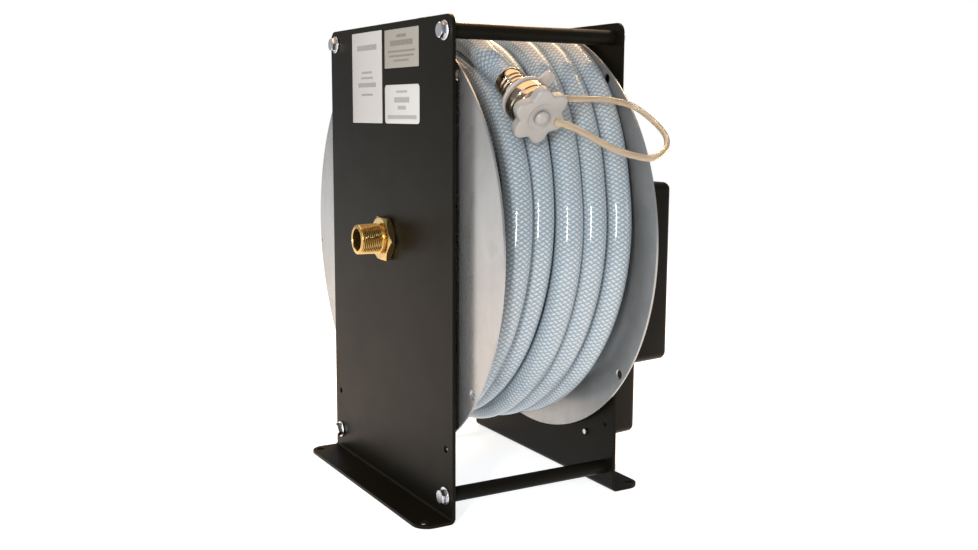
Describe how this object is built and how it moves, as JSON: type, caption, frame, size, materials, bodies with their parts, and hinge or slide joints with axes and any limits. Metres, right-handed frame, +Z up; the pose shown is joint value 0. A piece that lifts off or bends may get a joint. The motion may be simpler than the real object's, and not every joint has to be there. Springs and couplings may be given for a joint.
{
  "type": "powered hose reel",
  "caption": "Powered hose reel: a drum of clear braided hose between two bent steel side plates, with a brass water inlet, a drive cover, and a capped hose end.",
  "frame": {"origin": "on the floor, under the middle of the reel's width and depth", "axes": "+X along the drum's axle, from the water inlet to the drive; -Y at the front, where the hose end hangs; +Z up"},
  "size_m": [0.2606, 0.3949, 0.4262],
  "materials": {
    "black_powder_coat": "semi-gloss black powder coat",
    "zinc_plate": "bright zinc plating",
    "galvanised_steel": "dull galvanised sheet",
    "brass": "machined, lightly tarnished",
    "bronze": "sintered",
    "chrome": "polished plating",
    "machined_steel": "machined",
    "cast_aluminium": "die cast",
    "black_plastic": "fine grain",
    "braided_hose": "clear hose over a white braid",
    "milky_plastic": "translucent, satin",
    "black_rubber": "matt"
  },
  "bodies": {
    "root": {"bearing_bolt_1": "zinc_plate", "bearing_bolt_2": "zinc_plate", "bearing_housing": "cast_aluminium", "coupling_gasket": "black_rubber", "cover_screw_1": "zinc_plate", "cover_screw_2": "zinc_plate", "cover_screw_3": "zinc_plate", "drive_cover": "black_powder_coat", "drive_motor": "black_plastic", "gearbox": "cast_aluminium", "gearbox_bolt_1": "zinc_plate", "gearbox_bolt_2": "zinc_plate", "hose_ferrule": "chrome", "hose_stem": "chrome", "hose_tail": "braided_hose", "inlet_fitting": "brass", "inlet_lock_nut": "brass", "left_bolt_back_bottom": "zinc_plate", "left_bolt_back_top": "zinc_plate", "left_bolt_front_bottom": "zinc_plate", "left_bolt_front_top": "zinc_plate", "left_side_plate": "black_powder_coat", "left_washer_back_bottom": "zinc_plate", "left_washer_back_top": "zinc_plate", "left_washer_front_bottom": "zinc_plate", "left_washer_front_top": "zinc_plate", "plug_tether": "milky_plastic", "right_bolt_back_bottom": "zinc_plate", "right_bolt_back_top": "zinc_plate", "right_bolt_front_bottom": "zinc_plate", "right_bolt_front_top": "zinc_plate", "right_side_plate": "black_powder_coat", "right_washer_back_bottom": "zinc_plate", "right_washer_back_top": "zinc_plate", "right_washer_front_bottom": "zinc_plate", "right_washer_front_top": "zinc_plate", "roller_chain": "machined_steel", "shaft_bushing": "bronze", "swivel_spigot": "brass", "tie_rod_back_bottom": "black_powder_coat", "tie_rod_back_top": "black_powder_coat", "tie_rod_front_bottom": "black_powder_coat", "tie_rod_front_top": "black_powder_coat"},
    "drum": {"left_disc": "galvanised_steel", "right_disc": "galvanised_steel", "drum_core": "galvanised_steel", "swivel_hub": "brass", "outlet_riser": "brass", "drive_hub": "machined_steel", "drum_sprocket": "machined_steel", "hose_winding": "braided_hose", "hose_side_turns": "braided_hose", "left_hub_screw_back": "zinc_plate", "left_hub_screw_front": "zinc_plate", "right_hub_screw_back": "zinc_plate", "right_hub_screw_front": "zinc_plate"},
    "pinion": {"drive_pinion": "machined_steel"},
    "coupling": {"coupling_nut": "chrome"},
    "tether_end": {"tether_button": "milky_plastic"},
    "plug": {"end_plug": "milky_plastic"}
  },
  "joints": [
    {"name": "drum_spin", "type": "hinge", "parent": "root", "child": "drum", "pos_m": [-0.0157, 0, 0.2292], "axis": [1, 0, 0], "continuous": true},
    {"name": "pinion_spin", "type": "hinge", "parent": "root", "child": "pinion", "pos_m": [-0.0157, -0.069, 0.165], "axis": [1, 0, 0], "continuous": true},
    {"name": "coupling_spin", "type": "hinge", "parent": "root", "child": "coupling", "pos_m": [-0.0473, -0.126, 0.3675], "axis": [0.047, -0.8422, -0.5371], "continuous": true},
    {"name": "plug_travel", "type": "slide", "parent": "root", "child": "tether_end", "axis": [0.047, -0.8422, -0.5371], "range_m": [0, 0.00718], "deforming": ["plug_tether"]},
    {"name": "plug_turn", "type": "hinge", "parent": "tether_end", "child": "plug", "pos_m": [-0.0473, -0.126, 0.3675], "axis": [0.047, -0.8422, -0.5371], "range_deg": [0, 1170]}
  ],
  "couplings": [
    {"joint": "pinion_spin", "follows": "drum_spin", "ratio": 2.4},
    {"joint": "plug_travel", "follows": "plug_turn", "m_per_rad": 0.00035153}
  ]
}
